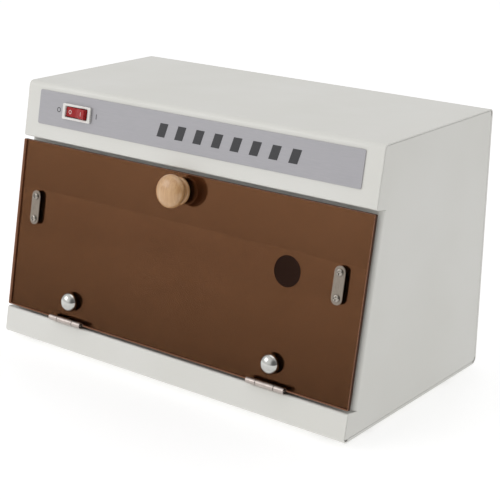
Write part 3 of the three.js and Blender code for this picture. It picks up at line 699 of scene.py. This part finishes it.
def middle_of(node):
    """A node's middle in the front's frame."""
    low, high = corners(node, FRONT)
    return (low + high) / 2


def catch_screws():
    return [f"catch_screw_{side}_{end}" for side in SIDES for end in ("upper", "lower")]


def door_holes():
    """The holes for the catch screws, the knob's screw and the caps' studs."""
    holes = [(node, 1.7) for node in catch_screws()]
    holes += [("knob_screw", 2.2), ("hinge_cap_left", 2.3), ("hinge_cap_right", 2.3)]
    return [circle(middle_of(node).x, middle_of(node).y, radius, 24) for node, radius in holes]


def add_door_panel():
    """Mirror acrylic: a clear tinted front, the mirror behind it and the paint on the mirror's back.

    The mirror stops short of the door's edges, where the paint shows as a dark border.
    """
    back = corners("door_panel", FRONT)[0].z
    mirror = back + MIRROR_DEPTH
    layers = [
        ("door_acrylic", 0.15, mirror + 0.3, 0.0, 0.1, None),
        ("door_mirror", MIRROR_BORDER, mirror - FILM, mirror, 0.0, MIRROR),
        ("door_backing", 0.35, back, back + FILM, 0.04, MIRROR_PAINT),
    ]
    for name, inset, low, high, bevel, finish in layers:
        sheet = plate(door_outline(inset), low, high, door_holes())
        piece(name, sheet, "door_panel", FRONT, bevel, finish, name == "door_acrylic")
    outside = plate(door_outline(0), back, -0.3, [door_outline(CUT_SKIN)])
    piece("door_cut_outside", outside, "door_panel", FRONT, 0.05, CUT_OUTSIDE, False)
    # The inner layer of the sawn edge, in its pale colour with a painted glow.
    inside = plate(door_outline(CUT_SKIN), back, 0.01, [door_outline(2 * CUT_SKIN)])
    piece("door_cut_inside", inside, "door_panel", FRONT, 0.1, CUT_INSIDE_PAINTED_GLOW, False)


def add_spot():
    """The black round patch, which lies on the mirror behind the clear acrylic."""
    low, high = corners("door_spot", FRONT)
    middle, radius = (low + high) / 2, (high.x - low.x) / 2
    level = low.z + MIRROR_DEPTH + 0.02
    thickness = 0.12
    patch = plate(circle(0, 0, radius, 96), level, level + thickness)
    piece("door_spot_patch", patch, "door_spot", at(FRONT, middle.x, middle.y), 0.03, DARK_PATCH)


def add_knob():
    """A turned wooden knob: a round collar, a hollow neck and a broad head with a softly domed face."""
    low, high = corners("knob", FRONT)
    middle, radius = (low + high) / 2, (high.x - low.x) / 2
    widest = 12.4
    rounding = 4.0
    foot = [(0, low.z + 0.5), (10.2, low.z + 0.5), (10.6, low.z)]
    collar = arc(9.9, low.z + 2.2, 1.7, -70, 80, 8, tall=2.1)
    neck = arc(11.2, 6.1, 2.9, 215, 140, 8, tall=1.8)
    under = arc(radius - rounding, widest, rounding, -62, 0, 10, tall=4.6)
    face = arc(0, widest, radius, 0, 90, 28, tall=high.z - widest)[1:-1]
    profile = foot + collar + neck + under + face + [(0, high.z)]
    piece("knob_turning", turned(profile, 96), "knob", at(FRONT, middle.x, middle.y))


def add_knob_screw():
    """The screw that holds the knob from behind, with its domed head on the door's back."""
    low = corners("knob_screw", FRONT)[0].z
    back = corners("door_panel", FRONT)[0].z
    middle = middle_of("knob_screw")
    radius = 4
    dome = 1.3
    shank = 1.9
    profile = [(0, low), *arc(0, low + dome, radius - 0.1, -84, -8, 8, tall=dome), (radius, back - 0.4)]
    profile += [(shank, back - 0.4), (shank, 11), (shank - 0.7, 12), (0, 12)]
    screw = cut(turned(profile, 40), *cross_recess(low - 1, radius, upward=True))
    piece("knob_screw_head", screw, "knob_screw", at(FRONT, middle.x, middle.y), 0.08)


def add_catch_screw(node, plate_top):
    """A pan head screw with a cross in its head."""
    low = corners(node, FRONT)[0]
    middle = middle_of(node)
    radius = 3.0
    dome = 1.1
    shank = 1.4
    shoulder = plate_top + 0.5
    profile = [(0, low.z), (shank * 0.6, low.z), (shank, low.z + 0.5), (shank, plate_top)]
    profile += [(radius - 0.15, plate_top), (radius, plate_top + 0.15), (radius, shoulder)]
    profile += [*arc(0, shoulder, radius, 0, 90, 10, tall=dome)[:-1], (0, shoulder + dome)]
    screw = cut(turned(profile, 40), *cross_recess(shoulder + dome + 1, 1.35 * radius))
    piece(node + "_pan", screw, node, at(FRONT, middle.x, middle.y), 0.06, SCREW_STEEL)


def add_catches():
    """On each side a plate in front, its strike plate behind, the magnet, and two screws."""
    for side in SIDES:
        for kind, bevel in (("catch_plate_", 0.35), ("strike_plate_", 0.2)):
            low, high = corners(kind + side, FRONT)
            middle, size = (low + high) / 2, high - low
            outline = rounded(middle.x, middle.y, size.x, size.y, size.x / 2 - 0.01, 16)
            heights = [middle_of(node).y for node in catch_screws() if side in node]
            holes = [circle(middle.x, height, 1.75, 24) for height in heights]
            piece(kind + side + "_sheet", plate(outline, low.z, high.z, holes), kind + side, FRONT, bevel)
        add_magnet(side)
    plate_top = corners("catch_plate_left", FRONT)[1].z + 0.1
    for node in catch_screws():
        add_catch_screw(node, plate_top)


def add_magnet(side):
    """A magnet between two steel pole plates, as magnetic catches have."""
    node = "catch_magnet_" + side
    low, high = corners(node, FRONT)
    middle, size = (low + high) / 2, high - low
    outline = rounded(middle.x, middle.y, size.x, size.y, 0.8)
    piece(node + "_block", plate(outline, low.z, high.z - 0.6), node, FRONT, 0.3)
    for name, x in (("inner", middle.x - size.x / 4), ("outer", middle.x + size.x / 4)):
        pole = plate(rounded(x, middle.y, 1.6, size.y - 4, 0.3), high.z - 0.7, high.z)
        piece(f"{node}_{name}_pole", pole, node, FRONT, 0.15, FINISHES["zinc"], False)


def rolled(level, start, bend, centre, radius):
    """The section of a leaf that runs up to the pin at one level and is rolled around it."""
    curl = arc(centre.y, centre.z, radius - LEAF / 2, 180, -130, 28)
    return bent([(level, start), (level, bend), *curl], LEAF)


def add_hinge(side):
    """Two leaves rolled into a barrel of three knuckles around a pin with domed ends, and the cap."""
    low, high = corners("hinge_base_leaf_" + side, FRONT)
    centre = middle_of("hinge_pin_" + side)
    radius = high.z - centre.z
    level = low.y + LEAF / 2
    add_base_leaf(side, level, centre, radius)
    add_door_leaf(side, level + 0.9, centre, radius)
    add_pin(side)
    add_cap(side)


def add_base_leaf(side, level, centre, radius):
    """The leaf on the rail's edge, with the two outer knuckles."""
    node = "hinge_base_leaf_" + side
    low, high = corners(node, FRONT)
    meshes = [plate(bent([(level, low.z), (level, 0.9)], LEAF), low.x, high.x)]
    section = rolled(level, 0.4, 1.4, centre, radius)
    for x0, x1 in ((low.x, low.x + OUTER_KNUCKLE), (high.x - OUTER_KNUCKLE, high.x)):
        meshes.append(plate(section, x0, x1))
    piece(node + "_rolled", together(*meshes), node, FRONT @ ALONG_X, 0.12)


def add_door_leaf(side, level, centre, radius):
    """The leaf behind the door, bent under its edge, with the middle knuckle and the stud's hole."""
    node = "hinge_door_leaf_" + side
    left, right = (corner.x for corner in corners("hinge_base_leaf_" + side, FRONT))
    low, high = corners(node, FRONT)
    back = low.z + LEAF / 2
    inset = OUTER_KNUCKLE + KNUCKLE_GAP
    barrel = plate(rolled(level, 0.1, 0.9, centre, radius), left + inset, right - inset)
    bend = reversed(arc(level + 0.5, back + 0.5, 0.5, 180, 270, 4))
    upright = plate(bent([(high.y, back), *bend, (level, 0.2)], LEAF), left, right)
    stud = middle_of("hinge_cap_" + side)
    hole = turned([(0, -8), (2.3, -8), (2.3, 2), (0, 2)], 24)
    hole.transform(FRONT.inverted() @ at(FRONT, stud.x, stud.y))
    hole.transform(ALONG_X.inverted())
    piece(node + "_rolled", together(cut(upright, hole), barrel), node, FRONT @ ALONG_X, 0.12)


def add_pin(side):
    """The hinge's pin, with domed ends."""
    node = "hinge_pin_" + side
    low, high = corners(node, FRONT)
    centre = middle_of(node)
    length = high.x - low.x
    dome = 0.4
    profile = [(0, 0), *arc(0.5, dome, 0.5, -90, 0, 5, tall=dome)]
    profile += [*arc(0.5, length - dome, 0.5, 0, 90, 5, tall=dome), (0, length)]
    along = at(FRONT, low.x, centre.y, centre.z) @ Matrix.Rotation(math.radians(90), 4, "Y")
    piece(node + "_rod", turned(profile, 24), node, along)


def add_cap(side):
    """A domed chrome cap, and the nut on its stud behind the door."""
    node = "hinge_cap_" + side
    low, high = corners(node, FRONT)
    middle, rim = (low + high) / 2, (high.x - low.x) / 2
    stud = 2
    under = 0.3
    shoulder = 0.8
    profile = [(0, low.z), (stud - 0.4, low.z), (stud, low.z + 0.4), (stud, under)]
    profile += [(rim - 0.4, under), (rim - 0.1, under + 0.15)]
    profile += [*arc(0, shoulder, rim, 0, 90, 24, tall=high.z - shoulder)[:-1], (0, high.z)]
    piece(node + "_dome", turned(profile, 80), node, at(FRONT, middle.x, middle.y))

    nut = "hinge_nut_" + side
    low, high = corners(nut, FRONT)
    hexagon = circle(0, 0, 4, 6)
    ring = plate(hexagon, low.z, high.z, [circle(0, 0, stud + 0.2, 24)])
    piece(nut + "_hexagon", ring, nut, at(FRONT, middle.x, middle.y), 0.3)


def add_door():
    add_door_panel()
    add_spot()
    add_knob()
    add_knob_screw()
    add_catches()
    for side in SIDES:
        add_hinge(side)


# ---- fascia ----


INK = 0.05  # how far print stands over the label, and how far it goes down into it
BARS = {
    "count": 8,
    "first": -28.0,
    "last": 106.0,
    "bottom": 202.7,
    "top": 214.2,
    "width": 8.5,
    "slant": 3.0,
}
MARKS = {"ring": -22.5, "bar": 22}  # where they stand beside the switch

SWITCH_BODY = (28.2, 11.5, 0.8)  # width, height and corner radius
SWITCH_POCKET = (26.2, 9.7, 0.8)
ROCKER_LEAN = 10  # how far the rocker leans at rest, in degrees
ROCKER_MARKS = 7.4  # how far its marks are from its middle


def add_label():
    """The grey plate, a plain row of slanted bars printed on it, and the switch's ring and bar."""
    low, high = corners("label_plate", FRONT)
    middle, size = (low + high) / 2, high - low
    bezel = middle_of("switch_bezel")
    hole = rounded(bezel.x, bezel.y, 28.6, 12, 0.8, 4)
    outline = rounded(middle.x, middle.y, size.x, size.y, 1.5, 10)
    piece("label_plate_sheet", plate(outline, low.z, high.z, [hole]), "label_plate", FRONT, 0.12)

    print_low, print_high = high.z - INK, high.z + INK
    bars = [plate(outline, print_low, print_high) for outline in bar_outlines()]
    piece("label_bars", together(*bars), "label_plate", FRONT, 0, DARK_INK, False)

    ring_x, bar_x = bezel.x + MARKS["ring"], bezel.x + MARKS["bar"]
    ring = plate(circle(ring_x, bezel.y, 2.2), print_low, print_high, [circle(ring_x, bezel.y, 1.5)])
    bar = plate(rounded(bar_x, bezel.y, 0.8, 4.4, 0.2, 2), print_low, print_high)
    piece("label_marks", together(ring, bar), "label_plate", FRONT, 0, DARK_INK, False)


def bar_outlines():
    """The slanted bars' outlines, evenly spaced along the label."""
    low, high, half = BARS["bottom"], BARS["top"], BARS["width"] / 2
    outlines = []
    for i in range(BARS["count"]):
        x = BARS["first"] + (BARS["last"] - BARS["first"]) * i / (BARS["count"] - 1)
        over = x + BARS["slant"]
        outlines.append([(x - half, low), (x + half, low), (over + half, high), (over - half, high)])
    return outlines


def add_bezel():
    """The switch's frame with a raised rim and a pocket, its body and its terminals."""
    low, high = corners("switch_bezel", FRONT)
    middle, size = (low + high) / 2, high - low
    x, s = middle.x, middle.y
    face = high.z - 1.9
    pocket_floor = -8
    body_floor = -18
    overlap = 0.1
    pocket = rounded(x, s, *SWITCH_POCKET, 6)
    lip = plate(rounded(x, s, size.x, size.y, 1.2, 8), face, high.z, [pocket])
    well = plate(rounded(x, s, *SWITCH_BODY, 6), pocket_floor, face + 2 * overlap, [pocket])
    body = plate(rounded(x, s, *SWITCH_BODY, 6), body_floor, pocket_floor + overlap)
    tag_outlines = [rounded(x + shift, s, 4.8, 0.8, 0.2, 2) for shift in (-8, 0, 8)]
    tags = [plate(outline, low.z, body_floor + overlap) for outline in tag_outlines]
    piece("switch_bezel_frame", together(lip, well, body), "switch_bezel", FRONT, 0.35)
    piece("switch_bezel_tags", together(*tags), "switch_bezel", FRONT, 0.1, FINISHES["brass"], False)


def add_rocker():
    """The rocker's hollowed paddle on its round keel, with a ring on one half and a bar on the other."""
    pivot = FRONT.inverted() @ Vector(JOINTS["rocker_tilt"]["pos_m"])
    lean = Matrix.Rotation(math.radians(-ROCKER_LEAN), 4, "Y")
    tilt = at(FRONT, pivot.x, pivot.y, pivot.z) @ lean
    half, width, thick_from, thick_to = 12.5, 8.5, -1, 3
    valley = arc(0, 13.2, 11.6, 250, 290, 10)
    keel = arc(0, 0, 5.5, 190, 350, 16)
    section = [(-half, thick_from), *keel, (half, thick_from), (half, thick_to)]
    section += [*reversed(valley), (-half, thick_to)]
    pulled = Matrix(((1, 0, 0, 0), (0, 0, -1, 0), (0, 1, 0, 0), (0, 0, 0, 1)))
    paddle = plate(section, -width / 2, width / 2)
    paddle.transform(pulled)
    piece("switch_rocker_paddle", paddle, "switch_rocker", tilt, 0.5)

    foot_x, foot_z = valley[-1]
    slope = (thick_to - foot_z) / (half - foot_x)
    level = foot_z + slope * (ROCKER_MARKS - foot_x)
    for name, side, mark in (("off", -1, ring_mark()), ("on", 1, bar_mark())):
        turn = Matrix.Rotation(-side * math.atan(slope), 4, "Y")
        spot = tilt @ Matrix.Translation((side * ROCKER_MARKS, 0, level)) @ turn
        piece("rocker_mark_" + name, mark, "switch_rocker", spot, 0, PALE_INK, False)


def add_switch():
    add_bezel()
    add_rocker()


def ring_mark():
    return plate(circle(0, 0, 1.8), -0.1, 0.06, [circle(0, 0, 1.25)])


def bar_mark():
    return plate(rounded(0, 0, 0.6, 3.6, 0.1, 2), -0.1, 0.06)


# ---- chamber ----


CATHODE_HALF = 4
CATHODE_HEIGHT = 16
COIL_RADIUS = 0.7
COIL_TURNS = 4.5


def add_lamp():
    """A hollow glass tube with a cathode at each end, between aluminium caps with two pins."""
    low, high = corners("uv_lamp_tube", ROW)
    y, z, radius = (low.y + high.y) / 2, (low.z + high.z) / 2, (high.z - low.z) / 2
    half = high.x
    wall = radius - 0.7
    profile = [(wall, -half), (radius, -half), (radius, half), (wall, half), (wall, -half)]
    along = at(ROW, 0, y, z) @ Matrix.Rotation(math.radians(90), 4, "Y")
    piece("uv_lamp_glass", turned(profile, 64), "uv_lamp_tube", along, 0.12)
    for side, sign in SIDES.items():
        inward = at(ROW, sign * half, y, z) @ Matrix.Rotation(math.radians(-90 * sign), 4, "Y")
        stem = turned([(0, 0), (3.4, 0), (2.6, 4), (2.2, 11), (1.4, 12), (0, 12)], 32)
        piece(f"uv_lamp_stem_{side}", stem, "uv_lamp_tube", inward, 0.1, FINISHES["lamp_glass"], False)
        piece(f"uv_lamp_cathode_{side}", cathode(), "uv_lamp_tube", inward, 0, TUNGSTEN, False)
        add_lamp_cap(side, sign, y, z)
        piece(f"lamp_holder_{side}_body", copied("lamp_holder_" + side), "lamp_holder_" + side, bevel=0.5)
    piece("lamp_reflector_sheet", copied("lamp_reflector"), "lamp_reflector", bevel=0.12)


def cathode():
    """A coiled wire, hung in half a circle between its two legs."""
    steps = 160
    coil = []
    for i in range(steps + 1):
        along = math.pi * i / steps
        around = 2 * COIL_TURNS * along
        height = CATHODE_HEIGHT + COIL_RADIUS * math.cos(around)
        coil.append((CATHODE_HALF * math.cos(along), COIL_RADIUS * math.sin(around), height))
    legs = [wire([(x, 0, 10), (x, 0, CATHODE_HEIGHT)], 0.25) for x in (-CATHODE_HALF, CATHODE_HALF)]
    return together(wire(coil, 0.12), *legs)


def add_lamp_cap(side, sign, y, z):
    """An aluminium cap with a bead round its rim, and two round-ended pins."""
    node = "lamp_cap_" + side
    low, high = corners(node, ROW)
    inner = min(abs(low.x), abs(high.x))
    outward = at(ROW, sign * inner, y, z) @ Matrix.Rotation(math.radians(90 * sign), 4, "Y")
    profile = [(0, 0), (7.6, 0), (8, 0.4), (8, 1.2), (7.7, 1.5), (7.7, 2.0), (8, 2.3)]
    profile += [*arc(7.4, 6.4, 0.6, 0, 90, 5), (0, 7)]
    pins = []
    for shift in (-2.5, 2.5):
        pin = turned([(0, 6), (1.1, 6), *arc(0.6, 13.5, 0.5, 0, 90, 5), (0, 14)], 20)
        pin.transform(Matrix.Translation((shift, 0, 0)))
        pins.append(pin)
    piece(node + "_ferrule", together(turned(profile, 64), *pins), node, outward, 0.1)


def add_rack():
    """A frame of one closed wire, two U-shaped runners and a row of thin bars."""
    low, high = corners("wire_rack", ROW)
    radius = 2.0
    bar_radius = 1.2
    bars = 15
    bar_rise = 1.4
    runner_inset = 12
    top = high.z - bar_radius - bar_rise
    x0, x1, y0, y1 = low.x + radius, high.x - radius, low.y + radius, high.y - radius
    rim = rounded((x0 + x1) / 2, (y0 + y1) / 2, x1 - x0, y1 - y0, 6, 8)
    wires = [wire([(x, y, top) for x, y in rim], radius, closed=True)]
    for x in (x0, x1):
        runner = rack_runner(x, y0 + runner_inset, y1 - runner_inset, low.z + radius, top)
        wires.append(wire(runner, radius))
    for i in range(1, bars + 1):
        x = x0 + (x1 - x0) * i / (bars + 1)
        wires.append(wire([(x, y0, top + bar_rise), (x, y1, top + bar_rise)], bar_radius, sides=3))
    piece("wire_rack_wires", together(*wires), "wire_rack")


def rack_runner(x, front, back, floor, top, bend=5.0):
    """A wire's path from the frame down to the floor, back along it and up again."""
    turns = arc(front + bend, floor + bend, bend, 180, 270, 6)
    turns += arc(back - bend, floor + bend, bend, 270, 360, 6)
    return [(x, front, top), *((x, y, z) for y, z in turns), (x, back, top)]


# ---- electrics ----


ELECTRIC_BEVELS = {
    "ballast": 0.8,
    "terminal_block": 0.5,
    "starter_socket": 0.5,
    "starter": 0.3,
    "mains_inlet": 0.5,
}


def add_electrics():
    """The parts over the ceiling and the mains inlet, with softened edges, and the leads between them."""
    for node, bevel in ELECTRIC_BEVELS.items():
        piece(node + "_body", copied(node), node, bevel=bevel)
    for blade in ("earth", "live", "neutral"):
        node = "inlet_blade_" + blade
        piece(node + "_strip", copied(node), node, bevel=0.35)
    for lead in ("switch", "mains", "ballast", "lamp", "starter"):
        piece(lead + "_lead_wire", copied(lead + "_lead"), lead + "_lead", bevel=0.1)


add_camera()
add_studio()
add_body()
add_door()
add_label()
add_switch()
add_lamp()
add_rack()
add_electrics()
